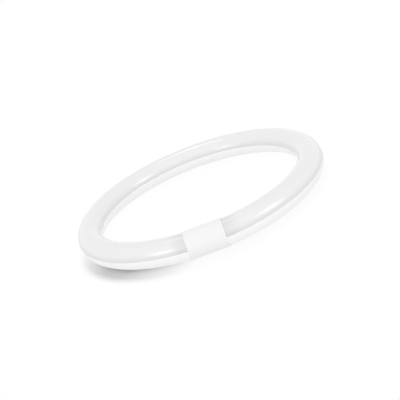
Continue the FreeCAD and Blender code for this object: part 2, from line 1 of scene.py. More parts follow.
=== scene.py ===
import bmesh
import bpy
import math
from collections import namedtuple
from mathutils import Matrix, Vector


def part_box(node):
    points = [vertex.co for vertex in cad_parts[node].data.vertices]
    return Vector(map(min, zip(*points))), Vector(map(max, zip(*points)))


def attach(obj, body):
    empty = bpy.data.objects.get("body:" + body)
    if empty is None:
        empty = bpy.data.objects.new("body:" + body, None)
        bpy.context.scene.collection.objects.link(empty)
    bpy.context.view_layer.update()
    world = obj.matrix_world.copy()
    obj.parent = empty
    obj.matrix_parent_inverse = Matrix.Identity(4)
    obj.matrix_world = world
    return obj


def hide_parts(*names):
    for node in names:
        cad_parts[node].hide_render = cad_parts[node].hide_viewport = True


# A ring-shaped LED lamp: satin white base, milky gloss diffuser, matt white cap with four plated pins.
# Metres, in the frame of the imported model: the ring lies flat, Z is its axis and the cap is at -Y.

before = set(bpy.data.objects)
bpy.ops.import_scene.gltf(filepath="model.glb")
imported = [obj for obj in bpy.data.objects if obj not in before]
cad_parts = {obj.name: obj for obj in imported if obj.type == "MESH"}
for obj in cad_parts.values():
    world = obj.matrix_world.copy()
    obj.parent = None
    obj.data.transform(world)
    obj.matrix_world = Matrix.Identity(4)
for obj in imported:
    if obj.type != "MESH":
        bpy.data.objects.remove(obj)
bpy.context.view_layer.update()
MM = 0.001
FULL_TURN = 2 * math.pi

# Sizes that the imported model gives
base_low, base_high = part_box("base_channel")
cover_low, cover_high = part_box("diffuser")
cap_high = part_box("cap_outer_shell")[1]
SEAM_Z = base_high.z
TUBE = SEAM_Z - base_low.z
RING = base_high.x - TUBE
SKIN = cover_high.z - SEAM_Z
LAP_DEPTH = SEAM_Z - cover_low.z
CAP_HALF_LENGTH = cap_high.x
CAP_RADIUS = cap_high.z - SEAM_Z

# Sizes of the two mouldings and the cap that their boxes don't show.
# The base closes up to the cap more tightly than the diffuser does.
BASE_WALL = 1.8 * MM
RIM_THICKNESS = 0.8 * MM
FIT_CLEARANCE = 0.15 * MM
BASE_END_GAP = 0.03 * MM
EDGE_ROUND = 0.25 * MM
RIB_SPACING = 11 * MM
RIB_THICKNESS = 1.2 * MM
SEAT_DEPTH = 6 * MM
CAP_WALL = 1.4 * MM
NECK_LENGTH = 7 * MM
NECK_WALL = 1.4 * MM
CHANNEL = TUBE - BASE_WALL
RIM_INSIDE = TUBE - RIM_THICKNESS
SKIRT = RIM_INSIDE - FIT_CLEARANCE
LEDGE_DEPTH = LAP_DEPTH + FIT_CLEARANCE
RING_END = CAP_HALF_LENGTH + FIT_CLEARANCE
BASE_END = CAP_HALF_LENGTH + BASE_END_GAP
NECK_END = CAP_HALF_LENGTH - NECK_LENGTH
CHORD = math.sqrt(RING ** 2 - CAP_HALF_LENGTH ** 2)
NECK = CAP_RADIUS - CAP_WALL - FIT_CLEARANCE

# The base's screw bosses, which stand against its outer rib
BOSSES = 8
BOSS_OFFSET = 4.4 * MM
BOSS_RADIUS = 1.9 * MM
PILOT_RADIUS = 0.9 * MM
PILOT_DEPTH = 5.1 * MM
BOARD_WIDTH = 14 * MM
BOARD_MARGIN = 4 * MM
FIRST_BOARD_TURN = math.asin((CAP_HALF_LENGTH + BOARD_MARGIN) / (RING - BOARD_WIDTH / 2))
BOSS_STEP = (FULL_TURN - 2 * FIRST_BOARD_TURN) / BOSSES

# Where the small parts change from one finish to another
LED_WINDOW_DEPTH = 0.15 * MM
SKIN_DEPTH = 0.03 * MM
PIN_TAIL = 4.5 * MM
SCREW_HEAD_HEIGHT = 1.1 * MM
LEG_REACH = 1 * MM
INDUCTOR_FLANGE = 1.2 * MM
FUSE_BAND = 1 * MM

# How finely the forms are divided
STEPS_AROUND = 360
STEPS_ALONG_NECK = 2
STEPS_IN_HALF_TURN = 56
STEPS_IN_ROUND = 4
STEPS_IN_BOSS = 32
SHARP_ANGLE = math.radians(35)
WELD_DISTANCE = 0.001 * MM

# The diffuser's painted shade: its share at the lap and at the cap, and how far it reaches from each
LAP_SHADE = 0.52
LAP_SHADE_REACH = 9 * MM
END_SHADE = 0.6
END_SHADE_REACH = 22 * MM

# How much finer detail the noise of each kind of pattern has
CLOUD_DETAIL = 3.0
GRAIN_DETAIL = 2.0
RIPPLE_DETAIL = 1.0

# The length of one band of the wave texture at a scale of 1
WAVE_BAND = math.pi / 10

# The floor: pale paper, with a share of plain white that grows with the distance from the deepest shadow
FLOOR_HALF = 6.0
PAPER_COLOUR = "#CBCBCB"
PLAIN_WHITE = 1.0
SHADOW_SPOT = (-106 * MM, -98 * MM, 0)
WHITE_SHARE_LEAST = 0.16
WHITE_SHARE_MOST = 0.95
WHITE_SHARE_INSIDE = 0.98
WHITE_SHARE_FROM = 15 * MM
WHITE_SHARE_TO = 100 * MM

# The floor just behind each half of the ring is hidden in the photograph's view, and keeps its shadow.
# The share of white changes between these places along Y.
BEHIND_FRONT_FROM = -75 * MM
BEHIND_FRONT_TO = -45 * MM
BEHIND_BACK_FROM = 10 * MM
BEHIND_BACK_TO = 60 * MM

# How far from the ring's centre the floor starts to turn plain white, and where all of it is
ALL_WHITE_FROM = 200 * MM
ALL_WHITE_TO = 500 * MM

# To a ray that comes straight off the lamp, the floor is an even card of this level
FLOOR_CARD = 0.88
FIRST_BOUNCE = 1.0
HALF_A_BOUNCE = 0.5

# The surround: its level at the horizon, its gain in front, and its loss overhead and at the sides
HORIZON_LEVEL = 1.3
FRONT_GAIN = 0.16
ZENITH_LOSS = 0.36
SIDE_LOSS = 0.2

# The softboxes: angles in degrees about the ring's centre, sizes in metres, levels in shares of white.
# A spread is the angle of the beam in degrees. Under 180 the beam fades softly towards its edge.
Softbox = namedtuple("Softbox", "name azimuth elevation distance width height level spread")
FLOOR_KEY = Softbox(
    "floor_key", azimuth=78, elevation=60, distance=2.5, width=1.2, height=1.2, level=17, spread=180,
)
HIGHLIGHT_CARDS = [
    Softbox(
        "card_left", azimuth=-134, elevation=17.5, distance=1.35, width=0.9, height=0.5, level=4, spread=34,
    ),
    Softbox(
        "card_right", azimuth=-31, elevation=21.5, distance=1, width=0.8, height=0.45, level=4, spread=38,
    ),
    Softbox(
        "card_above", azimuth=106, elevation=70, distance=2.5, width=1.4, height=0.5, level=4.6, spread=32,
    ),
]

# The photograph's view, found by fitting the ring's outline to it, with its angles in radians
IMAGE_PX = 400
FOCAL_PX = 1016.7
RING_CENTRE_PX = (198.9, 193.67)
VIEW_DISTANCE = 8.729 * RING
VIEW_ELEVATION = 0.3630
VIEW_TURN = math.radians(4.5)
VIEW_ROLL = -0.3828
SENSOR_MM = 36


def linear(hex_colour):
    """An sRGB hex colour as the linear colour that a shader takes."""
    channels = [int(hex_colour[i:i + 2], 16) / 255 for i in (1, 3, 5)]
    return [c / 12.92 if c <= 0.04045 else ((c + 0.055) / 1.055) ** 2.4 for c in channels] + [1]


def add_node(tree, kind, inputs=None, **settings):
    """Adds a node, applies its settings, and gives each input a value or a link."""
    node = tree.nodes.new(kind)
    for name, setting in settings.items():
        setattr(node, name, setting)
    for name, source in (inputs or {}).items():
        if isinstance(source, bpy.types.Node):
            source = source.outputs[0]
        if isinstance(source, bpy.types.NodeSocket):
            tree.links.new(source, node.inputs[name])
        else:
            node.inputs[name].default_value = source
    return node


# Shaping with geometry nodes

def new_shape_tree(name, sizes):
    """A geometry tree that takes a geometry, a number for each named size and a material."""
    tree = bpy.data.node_groups.new(name, "GeometryNodeTree")
    tree.is_modifier = True
    tree.interface.new_socket("Geometry", in_out="INPUT", socket_type="NodeSocketGeometry")
    for size in sizes:
        tree.interface.new_socket(size, in_out="INPUT", socket_type="NodeSocketFloat")
    tree.interface.new_socket("Material", in_out="INPUT", socket_type="NodeSocketMaterial")
    tree.interface.new_socket("Geometry", in_out="OUTPUT", socket_type="NodeSocketGeometry")
    return tree, add_node(tree, "NodeGroupInput").outputs


def end_shape_tree(tree, shape, material):
    """Ends a tree: plain smooth geometry with its material."""
    plain = add_node(tree, "GeometryNodeRealizeInstances", {"Geometry": shape})
    smooth = add_node(tree, "GeometryNodeSetShadeSmooth", {"Geometry": plain})
    finished = add_node(tree, "GeometryNodeSetMaterial", {"Geometry": smooth, "Material": material})
    add_node(tree, "NodeGroupOutput", {"Geometry": finished})


def swept_section(tree, section, steps, closed_ends=True):
    """Sweeps a section along a line from 0 to 1, and gives the sweep and its three coordinates."""
    outline = add_node(tree, "GeometryNodeMeshToCurve", {"Mesh": section})
    line = add_node(tree, "GeometryNodeCurvePrimitiveLine", {"Start": (0, 0, 0), "End": (0, 0, 1)})
    divided = add_node(tree, "GeometryNodeResampleCurve", {"Curve": line, "Count": steps})
    sweep = add_node(
        tree, "GeometryNodeCurveToMesh",
        {"Curve": divided, "Profile Curve": outline, "Fill Caps": closed_ends},
    )
    place = add_node(tree, "GeometryNodeInputPosition")
    return sweep, add_node(tree, "ShaderNodeSeparateXYZ", {"Vector": place}).outputs


def around(tree, radius, turn):
    """X and Y of what lies at a radius from an axis, turned about it from the cap's side."""
    sine = add_node(tree, "ShaderNodeMath", {0: turn}, operation="SINE")
    cosine = add_node(tree, "ShaderNodeMath", {0: turn}, operation="COSINE")
    opposite = add_node(tree, "ShaderNodeMath", {0: radius, 1: -1.0}, operation="MULTIPLY")
    x = add_node(tree, "ShaderNodeMath", {0: radius, 1: sine}, operation="MULTIPLY")
    y = add_node(tree, "ShaderNodeMath", {0: opposite, 1: cosine}, operation="MULTIPLY")
    return x, y


def ring_tree():
    """Bends a swept section round the ring, between two parallel ends at the cap."""
    tree, sizes = new_shape_tree("ring_moulding", ["Ring radius", "Seam height", "Ring end", "Steps"])
    sweep, (out, up, along) = swept_section(tree, sizes["Geometry"], sizes["Steps"])
    radius = add_node(tree, "ShaderNodeMath", {0: sizes["Ring radius"], 1: out}, operation="ADD")
    share = add_node(tree, "ShaderNodeMath", {0: sizes["Ring end"], 1: radius}, operation="DIVIDE")
    start = add_node(tree, "ShaderNodeMath", {0: share}, operation="ARCSINE")
    # What is left of a full turn between the two ends
    span = add_node(tree, "ShaderNodeMath", {0: start, 1: -2.0, 2: FULL_TURN}, operation="MULTIPLY_ADD")
    turn = add_node(tree, "ShaderNodeMath", {0: along, 1: span, 2: start}, operation="MULTIPLY_ADD")
    x, y = around(tree, radius, turn)
    z = add_node(tree, "ShaderNodeMath", {0: sizes["Seam height"], 1: up}, operation="ADD")
    place = add_node(tree, "ShaderNodeCombineXYZ", {"X": x, "Y": y, "Z": z})
    bent = add_node(tree, "GeometryNodeSetPosition", {"Geometry": sweep, "Position": place})
    end_shape_tree(tree, bent, sizes["Material"])
    return tree


def neck_tree():
    """Sets a swept section straight along the cap's axis, between two distances from its middle."""
    tree, sizes = new_shape_tree("neck", ["Chord", "Seam height", "From", "To"])
    sweep, (out, up, along) = swept_section(tree, sizes["Geometry"], STEPS_ALONG_NECK)
    reach = add_node(tree, "ShaderNodeMath", {0: sizes["To"], 1: sizes["From"]}, operation="SUBTRACT")
    x = add_node(tree, "ShaderNodeMath", {0: along, 1: reach, 2: sizes["From"]}, operation="MULTIPLY_ADD")
    y = add_node(tree, "ShaderNodeMath", {0: out, 1: sizes["Chord"]}, operation="SUBTRACT")
    z = add_node(tree, "ShaderNodeMath", {0: sizes["Seam height"], 1: up}, operation="ADD")
    place = add_node(tree, "ShaderNodeCombineXYZ", {"X": x, "Y": y, "Z": z})
    straight = add_node(tree, "GeometryNodeSetPosition", {"Geometry": sweep, "Position": place})
    end_shape_tree(tree, straight, sizes["Material"])
    return tree


def boss_tree():
    """Turns a boss's half section about its own axis, and sets the bosses round the ring."""
    tree, sizes = new_shape_tree(
        "screw_bosses", ["Reach", "Seam height", "First turn", "Turn step", "Count", "Steps"]
    )
    sweep, (out, up, along) = swept_section(tree, sizes["Geometry"], sizes["Steps"], closed_ends=False)
    spin = add_node(tree, "ShaderNodeMath", {0: along, 1: FULL_TURN}, operation="MULTIPLY")
    x, y = around(tree, out, spin)
    z = add_node(tree, "ShaderNodeMath", {0: sizes["Seam height"], 1: up}, operation="ADD")
    place = add_node(tree, "ShaderNodeCombineXYZ", {"X": x, "Y": y, "Z": z})
    turned = add_node(tree, "GeometryNodeSetPosition", {"Geometry": sweep, "Position": place})
    boss = add_node(tree, "GeometryNodeMergeByDistance", {"Geometry": turned, "Distance": WELD_DISTANCE})
    row = add_node(tree, "GeometryNodeMeshLine", {"Count": sizes["Count"]})
    number = add_node(tree, "GeometryNodeInputIndex")
    turn = add_node(
        tree, "ShaderNodeMath", {0: number, 1: sizes["Turn step"], 2: sizes["First turn"]},
        operation="MULTIPLY_ADD",
    )
    spot_x, spot_y = around(tree, sizes["Reach"], turn)
    spot = add_node(tree, "ShaderNodeCombineXYZ", {"X": spot_x, "Y": spot_y})
    spots = add_node(tree, "GeometryNodeSetPosition", {"Geometry": row, "Position": spot})
    bosses = add_node(tree, "GeometryNodeInstanceOnPoints", {"Points": spots, "Instance": boss})
    end_shape_tree(tree, bosses, sizes["Material"])
    return tree


def outline_mesh(name, points):
    """A closed outline in a section: out from the tube's axis, and up."""
    mesh = bpy.data.meshes.new(name)
    edges = [(i, (i + 1) % len(points)) for i in range(len(points))]
    mesh.from_pydata([(out, up, 0) for out, up in points], edges, [])
    return mesh


def shaped_mesh(name, points, tree, sizes, material):
    """Runs a tree on an outline and gives the plain mesh that comes out."""
    maker = bpy.data.objects.new(name, outline_mesh(name, points))
    bpy.context.scene.collection.objects.link(maker)
    modifier = maker.modifiers.new("shape", "NODES")
    modifier.node_group = tree
    for item in tree.interface.items_tree:
        if item.in_out == "INPUT" and item.name in sizes:
            modifier[item.identifier] = float(sizes[item.name])
        elif item.in_out == "INPUT" and item.name == "Material":
            modifier[item.identifier] = material
    bpy.context.view_layer.update()
    evaluated = maker.evaluated_get(bpy.context.evaluated_depsgraph_get())
    mesh = bpy.data.meshes.new_from_object(evaluated)
    bpy.data.objects.remove(maker)
    return mesh


def add_piece(name, meshes, material, replaced):
    """One piece of the lamp from plain meshes, with its faces outwards, in place of a solid."""
    joined = bmesh.new()
    for mesh in meshes:
        joined.from_mesh(mesh)
    bmesh.ops.recalc_face_normals(joined, faces=joined.faces)
    final = bpy.data.meshes.new(name)
    joined.to_mesh(final)
    joined.free()
    # The joined meshes use different slots, and clearing sets every face back to the first one
    final.materials.clear()
    final.materials.append(material)
    final.set_sharp_from_angle(angle=SHARP_ANGLE)
    piece = bpy.data.objects.new(name, final)
    bpy.context.scene.collection.objects.link(piece)
    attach(piece, "root")
    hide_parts(replaced)


# Sections of the two mouldings

def arc(radius, start, end, steps, centre=(0, 0)):
    """Points on an arc, with its angles in radians."""
    angles = [start + (end - start) * i / steps for i in range(steps + 1)]
    return [(centre[0] + radius * math.cos(a), centre[1] + radius * math.sin(a)) for a in angles]


def mirrored(half):
    """A whole outline from its outward side, which starts and ends on the middle line."""
    return half + [(-out, up) for out, up in reversed(half[1:-1])]


def base_section():
    """A half-round trough with a thin rim and two standing ribs."""
    inset = math.sqrt((TUBE - EDGE_ROUND) ** 2 - EDGE_ROUND ** 2)
    tangent = -math.asin(EDGE_ROUND / (TUBE - EDGE_ROUND))
    ledge = math.sqrt(CHANNEL ** 2 - LEDGE_DEPTH ** 2)
    rib_far = (RIB_SPACING + RIB_THICKNESS) / 2
    rib_near = (RIB_SPACING - RIB_THICKNESS) / 2
    down = -math.pi / 2
    steps = STEPS_IN_HALF_TURN // 2
    return mirrored(
        arc(TUBE, down, tangent, steps)
        + arc(EDGE_ROUND, tangent, math.pi / 2, STEPS_IN_ROUND, (inset, -EDGE_ROUND))[1:]
        + [(RIM_INSIDE, 0), (RIM_INSIDE, -LEDGE_DEPTH)]
        + arc(CHANNEL, -math.acos(ledge / CHANNEL), -math.acos(rib_far / CHANNEL), steps // 2)
        + [(rib_far, -SEAT_DEPTH), (rib_near, -SEAT_DEPTH)]
        + arc(CHANNEL, -math.acos(rib_near / CHANNEL), down, steps // 4)
    )


def diffuser_section():
    """A half-round arch with a skirt that tucks into the base's rim."""
    inset = math.sqrt((SKIN - EDGE_ROUND) ** 2 - EDGE_ROUND ** 2)
    tangent = math.asin(EDGE_ROUND / (SKIN - EDGE_ROUND))
    up = math.pi / 2
    steps = STEPS_IN_HALF_TURN // 2
    return mirrored(
        arc(SKIN, up, tangent, steps)
        + arc(EDGE_ROUND, tangent, -math.pi / 2, STEPS_IN_ROUND, (inset, EDGE_ROUND))[1:]
        + [(SKIRT, 0), (SKIRT, -LAP_DEPTH), (CHANNEL, -LAP_DEPTH)]
        + arc(CHANNEL, 0, up, steps)
    )


def neck_section(side):
    """Half a ring of the neck's wall, above the seam for side 1 and below it for side -1."""
    outer = arc(NECK, 0, side * math.pi, STEPS_IN_HALF_TURN)
    inner = arc(NECK - NECK_WALL, side * math.pi, 0, STEPS_IN_HALF_TURN)
    return outer + inner


def boss_section():
    """Half of a round boss from the middle of the wall to the seat, with a pilot hole."""
    wall_inside = math.sqrt(CHANNEL ** 2 - (BOSS_OFFSET - BOSS_RADIUS) ** 2)
    wall_outside = math.sqrt(TUBE ** 2 - (BOSS_OFFSET + BOSS_RADIUS) ** 2)
    foot = -(wall_inside + wall_outside) / 2
    hole_end = -SEAT_DEPTH - PILOT_DEPTH
    return [
        (0, foot), (BOSS_RADIUS, foot), (BOSS_RADIUS, -SEAT_DEPTH),
        (PILOT_RADIUS, -SEAT_DEPTH), (PILOT_RADIUS, hole_end), (0, hole_end),
    ]


def moulding_meshes(name, section, side, ring_end, material):
    """A half-round moulding all round the ring, with a straight neck at each end."""
    ring_sizes = {"Ring radius": RING, "Seam height": SEAM_Z, "Ring end": ring_end, "Steps": STEPS_AROUND}
    meshes = [shaped_mesh(name, section, ring_shape, ring_sizes, material)]
    for start, end in ((NECK_END, ring_end), (-ring_end, -NECK_END)):
        neck_sizes = {"Chord": CHORD, "Seam height": SEAM_Z, "From": start, "To": end}
        meshes.append(shaped_mesh(name, neck_section(side), neck_shape, neck_sizes, material))
    return meshes


def make_base(material):
    """The lower half of the ring, with its necks and screw bosses."""
    name = "base_moulding"
    boss_sizes = {
        "Reach": RING + BOSS_OFFSET, "Seam height": SEAM_Z, "First turn": FIRST_BOARD_TURN + BOSS_STEP / 2,
        "Turn step": BOSS_STEP, "Count": BOSSES, "Steps": STEPS_IN_BOSS + 1,
    }
    meshes = moulding_meshes(name, base_section(), -1, BASE_END, material)
    meshes.append(shaped_mesh(name, boss_section(), boss_shape, boss_sizes, material))
    add_piece(name, meshes, material, "base_channel")


def make_diffuser(material):
    """The upper, milky half of the ring, with its necks."""
    name = "diffuser_cover"
    meshes = moulding_meshes(name, diffuser_section(), 1, RING_END, material)
    add_piece(name, meshes, material, "diffuser")


# Materials. Grains and lines that are too fine to show are drawn coarser than on the real lamp.

def new_material(name):
    """An empty material, its tree, its shader and the object's own coordinates."""
    material = bpy.data.materials.new(name)
    material.use_nodes = True
    tree = material.node_tree
    tree.nodes.clear()
    shader = add_node(tree, "ShaderNodeBsdfPrincipled")
    add_node(tree, "ShaderNodeOutputMaterial", {"Surface": shader})
    place = add_node(tree, "ShaderNodeTexCoord").outputs["Object"]
    return material, tree, shader, place


def moulded_plastic(name, colour, shade, roughness, ior, grain_mm, grain_depth_mm, cloud_mm=40):
    """Moulded plastic: a faint cloudiness in the colour and an even, fine grain from the mould."""
    material, tree, shader, place = new_material(name)
    cloud = add_node(
        tree, "ShaderNodeTexNoise", {"Vector": place, "Scale": 1 / (cloud_mm * MM), "Detail": CLOUD_DETAIL}
    )
    tint = add_node(
        tree, "ShaderNodeMix",
        {"Factor": cloud, "A": linear(colour), "B": linear(shade)}, data_type="RGBA",
    )
    tree.links.new(tint.outputs["Result"], shader.inputs["Base Color"])
    grain = add_node(
        tree, "ShaderNodeTexNoise", {"Vector": place, "Scale": 1 / (grain_mm * MM), "Detail": GRAIN_DETAIL}
    )
    bump = add_node(tree, "ShaderNodeBump", {"Height": grain, "Distance": grain_depth_mm * MM})
    tree.links.new(bump.outputs["Normal"], shader.inputs["Normal"])
    shader.inputs["Roughness"].default_value = roughness
    shader.inputs["IOR"].default_value = ior
    return material


def opal_plastic(name, colour, shade, roughness, ior, ripple_mm, ripple_depth_mm):
    """Opal plastic under a hard gloss, with shade painted into its colour where the lap and the cap keep
    light from it.
    """
    material, tree, shader, place = new_material(name)
    x, y, z = add_node(tree, "ShaderNodeSeparateXYZ", {"Vector": place}).outputs
    # Painted shade: the colour turns greyer towards the seam and, on the cap's side, towards the cap's ends
    shade_by_seam = add_node(
        tree, "ShaderNodeMapRange",
        {
            "Value": z, "From Min": SEAM_Z, "From Max": SEAM_Z + LAP_SHADE_REACH,
            "To Min": LAP_SHADE, "To Max": 0.0,
        },
        interpolation_type="SMOOTHERSTEP",
    )
    side = add_node(tree, "ShaderNodeMath", {0: x}, operation="ABSOLUTE")
    shade_by_end = add_node(
        tree, "ShaderNodeMapRange",
        {
            "Value": side, "From Min": RING_END, "From Max": RING_END + END_SHADE_REACH,
            "To Min": END_SHADE, "To Max": 0.0,
        },
        interpolation_type="SMOOTHERSTEP",
    )
    front = add_node(tree, "ShaderNodeMath", {0: y, 1: 0.0}, operation="LESS_THAN")
    shade_by_cap = add_node(tree, "ShaderNodeMath", {0: shade_by_end, 1: front}, operation="MULTIPLY")
    painted_shade = add_node(tree, "ShaderNodeMath", {0: shade_by_seam, 1: shade_by_cap}, operation="ADD", use_clamp=True)
    tint = add_node(
        tree, "ShaderNodeMix",
        {"Factor": painted_shade, "A": linear(colour), "B": linear(shade)}, data_type="RGBA",
    )
    tree.links.new(tint.outputs["Result"], shader.inputs["Base Color"])
    ripple = add_node(
        tree, "ShaderNodeTexNoise",
        {"Vector": place, "Scale": 1 / (ripple_mm * MM), "Detail": RIPPLE_DETAIL},
    )
    bump = add_node(tree, "ShaderNodeBump", {"Height": ripple, "Distance": ripple_depth_mm * MM})
    tree.links.new(bump.outputs["Normal"], shader.inputs["Normal"])
    shader.inputs["Roughness"].default_value = roughness
    shader.inputs["IOR"].default_value = ior
    return material


# One finish of a small part: two close tones, how metallic it is and how rough
Finish = namedtuple("Finish", "tone shade metallic roughness")


def two_finishes(name, main, other, axis, low, high, grain_mm, line_mm, line_depth_mm):
    """A part of two finishes, the other one between two places along an axis, with fine lines on both."""
    material, tree, shader, place = new_material(name)
    along = add_node(tree, "ShaderNodeSeparateXYZ", {"Vector": place}).outputs[axis]
    share = add_node(
        tree, "ShaderNodeMath", {0: along, 1: (low + high) / 2, 2: (high - low) / 2}, operation="COMPARE"
    )
    grain = add_node(
        tree, "ShaderNodeTexNoise", {"Vector": place, "Scale": 1 / (grain_mm * MM), "Detail": GRAIN_DETAIL}
    )
    tints = [
        add_node(
            tree, "ShaderNodeMix",
            {"Factor": grain, "A": linear(finish.tone), "B": linear(finish.shade)}, data_type="RGBA",
        ).outputs["Result"]
        for finish in (main, other)
    ]
    tint = add_node(
        tree, "ShaderNodeMix", {"Factor": share, "A": tints[0], "B": tints[1]}, data_type="RGBA"
    )
    tree.links.new(tint.outputs["Result"], shader.inputs["Base Color"])
    for socket, on_main, on_other in (
        ("Metallic", main.metallic, other.metallic),
        ("Roughness", main.roughness, other.roughness),
    ):
        if on_main == on_other:
            shader.inputs[socket].default_value = on_main
        else:
            mix = add_node(
                tree, "ShaderNodeMix", {"Factor": share, "A": on_main, "B": on_other}, data_type="FLOAT"
            )
            tree.links.new(mix.outputs["Result"], shader.inputs[socket])
    lines = add_node(
        tree, "ShaderNodeTexWave", {"Vector": place, "Scale": WAVE_BAND / (line_mm * MM)},
        bands_direction=axis,
    )
    bump = add_node(
        tree, "ShaderNodeBump", {"Height": lines.outputs["Fac"], "Distance": line_depth_mm * MM}
    )
    tree.links.new(bump.outputs["Normal"], shader.inputs["Normal"])
    return material


# Light, floor and camera

def white_share(tree, place, reach, inside):
    """How much of the floor's look is plain white: least in the shadow, and all of it far away."""
    away = add_node(tree, "ShaderNodeVectorMath", {0: place, 1: SHADOW_SPOT}, operation="DISTANCE")
    graded = add_node(
        tree, "ShaderNodeMapRange",
        {
            "Value": away.outputs["Value"], "From Min": WHITE_SHARE_FROM, "From Max": WHITE_SHARE_TO,
            "To Min": WHITE_SHARE_LEAST, "To Max": WHITE_SHARE_MOST,
        },
    )
    y = add_node(tree, "ShaderNodeSeparateXYZ", {"Vector": place}).outputs["Y"]
    outer = add_node(
        tree, "ShaderNodeMapRange",
        {
            "Value": y, "From Min": BEHIND_BACK_FROM, "From Max": BEHIND_BACK_TO,
            "To Min": graded.outputs["Result"], "To Max": WHITE_SHARE_LEAST,
        },
    )
    inner = add_node(
        tree, "ShaderNodeMapRange",
        {
            "Value": y, "From Min": BEHIND_FRONT_FROM, "From Max": BEHIND_FRONT_TO,
            "To Min": WHITE_SHARE_LEAST, "To Max": WHITE_SHARE_INSIDE,
        },
    )
    near = add_node(
        tree, "ShaderNodeMix",
        {"Factor": inside, "A": outer.outputs["Result"], "B": inner.outputs["Result"]}, data_type="FLOAT",
    )
    far = add_node(
        tree, "ShaderNodeMapRange", {"Value": reach, "From Min": ALL_WHITE_FROM, "From Max": ALL_WHITE_TO}
    )
    return add_node(
        tree, "ShaderNodeMath", {0: near.outputs["Result"], 1: far.outputs["Result"]}, operation="MAXIMUM"
    )


def white_paper():
    """Paper that looks white and keeps the shadow. In the gloss of the lamp it is white inside the ring."""
    material = bpy.data.materials.new("white_paper")
    material.use_nodes = True
    tree = material.node_tree
    tree.nodes.clear()
    path = add_node(tree, "ShaderNodeLightPath").outputs
    place = add_node(tree, "ShaderNodeTexCoord").outputs["Object"]
    reach = add_node(tree, "ShaderNodeVectorMath", {0: place}, operation="LENGTH").outputs["Value"]
    inside = add_node(tree, "ShaderNodeMath", {0: reach, 1: RING}, operation="LESS_THAN")
    share = white_share(tree, place, reach, inside)
    seen = add_node(tree, "ShaderNodeMath", {0: path["Is Camera Ray"], 1: share}, operation="MULTIPLY")
    white = add_node(tree, "ShaderNodeEmission", {"Strength": PLAIN_WHITE})
    paper = add_node(tree, "ShaderNodeBsdfDiffuse", {"Color": linear(PAPER_COLOUR)})
    pale = add_node(tree, "ShaderNodeMixShader", {0: seen, 1: paper, 2: white})
    in_gloss = add_node(tree, "ShaderNodeMath", {0: path["Is Glossy Ray"], 1: inside}, operation="MULTIPLY")
    card_level = add_node(
        tree, "ShaderNodeMix", {"Factor": in_gloss, "A": FLOOR_CARD, "B": PLAIN_WHITE}, data_type="FLOAT"
    )
    card = add_node(tree, "ShaderNodeEmission", {"Strength": card_level.outputs["Result"]})
    from_lamp = add_node(
        tree, "ShaderNodeMath",
        {0: path["Ray Depth"], 1: FIRST_BOUNCE, 2: HALF_A_BOUNCE}, operation="COMPARE",
    )
    surface = add_node(tree, "ShaderNodeMixShader", {0: from_lamp, 1: pale, 2: card})
    add_node(tree, "ShaderNodeOutputMaterial", {"Surface": surface})
    material.cycles.emission_sampling = "NONE"
    return material


def make_floor():
    """The floor that the lamp lies on."""
    mesh = bpy.data.meshes.new("floor")
    corners = [(x * FLOOR_HALF, y * FLOOR_HALF, 0) for x, y in ((-1, -1), (1, -1), (1, 1), (-1, 1))]
    mesh.from_pydata(corners, [], [(0, 1, 2, 3)])
    mesh.materials.append(white_paper())
    floor = bpy.data.objects.new("floor", mesh)
    bpy.context.scene.collection.objects.link(floor)
    return floor


def make_sky():
    """A soft white surround, brightest low in front and dimmer above and at the sides."""
    world = bpy.data.worlds.new("studio")
    bpy.context.scene.world = world
    world.use_nodes = True
    tree = world.node_tree
    tree.nodes.clear()
    direction = add_node(tree, "ShaderNodeTexCoord").outputs["Generated"]
    gain = add_node(
        tree, "ShaderNodeVectorMath",
        {0: direction, 1: (0, -FRONT_GAIN, -ZENITH_LOSS)}, operation="DOT_PRODUCT",
    )
    even = add_node(
        tree, "ShaderNodeMath", {0: gain.outputs["Value"], 1: HORIZON_LEVEL}, operation="ADD"
    )
    x = add_node(tree, "ShaderNodeSeparateXYZ", {"Vector": direction}).outputs["X"]
    side = add_node(tree, "ShaderNodeMath", {0: x, 1: x}, operation="MULTIPLY")
    level = add_node(tree, "ShaderNodeMath", {0: side, 1: -SIDE_LOSS, 2: even}, operation="MULTIPLY_ADD")
    sky = add_node(tree, "ShaderNodeBackground", {"Color": linear("#FFFFFF"), "Strength": level})
    add_node(tree, "ShaderNodeOutputWorld", {"Surface": sky})


def add_softbox(box):
    """An oval light turned to the ring's centre, which keeps its level whatever its spread."""
    light = bpy.data.lights.new(box.name, "AREA")
    light.shape = "ELLIPSE"
    light.size = box.width
    light.size_y = box.height
    light.spread = math.radians(box.spread)
    half_spread = light.spread / 2
    gathered = 1 - half_spread / math.tan(half_spread)
    area = math.pi / 4 * box.width * box.height
    light.energy = box.level * math.pi * area * gathered
    softbox = bpy.data.objects.new(box.name, light)
    bpy.context.scene.collection.objects.link(softbox)
    turn, rise = math.radians(box.azimuth), math.radians(box.elevation)
    towards = Vector((math.cos(rise) * math.cos(turn), math.cos(rise) * math.sin(turn), math.sin(rise)))
    softbox.location = Vector((0, 0, SEAM_Z)) + box.distance * towards
    softbox.rotation_euler = towards.to_track_quat("Z", "Y").to_euler()
    return softbox


def make_lights(floor):
    """Cards that only show as highlights in the gloss, and a key that only lights the floor."""
    for card in HIGHLIGHT_CARDS:
        add_softbox(card).visible_diffuse = False
    lit_by_key = bpy.data.collections.new("lit_by_key")
    lit_by_key.objects.link(floor)
    add_softbox(FLOOR_KEY).light_linking.receiver_collection = lit_by_key


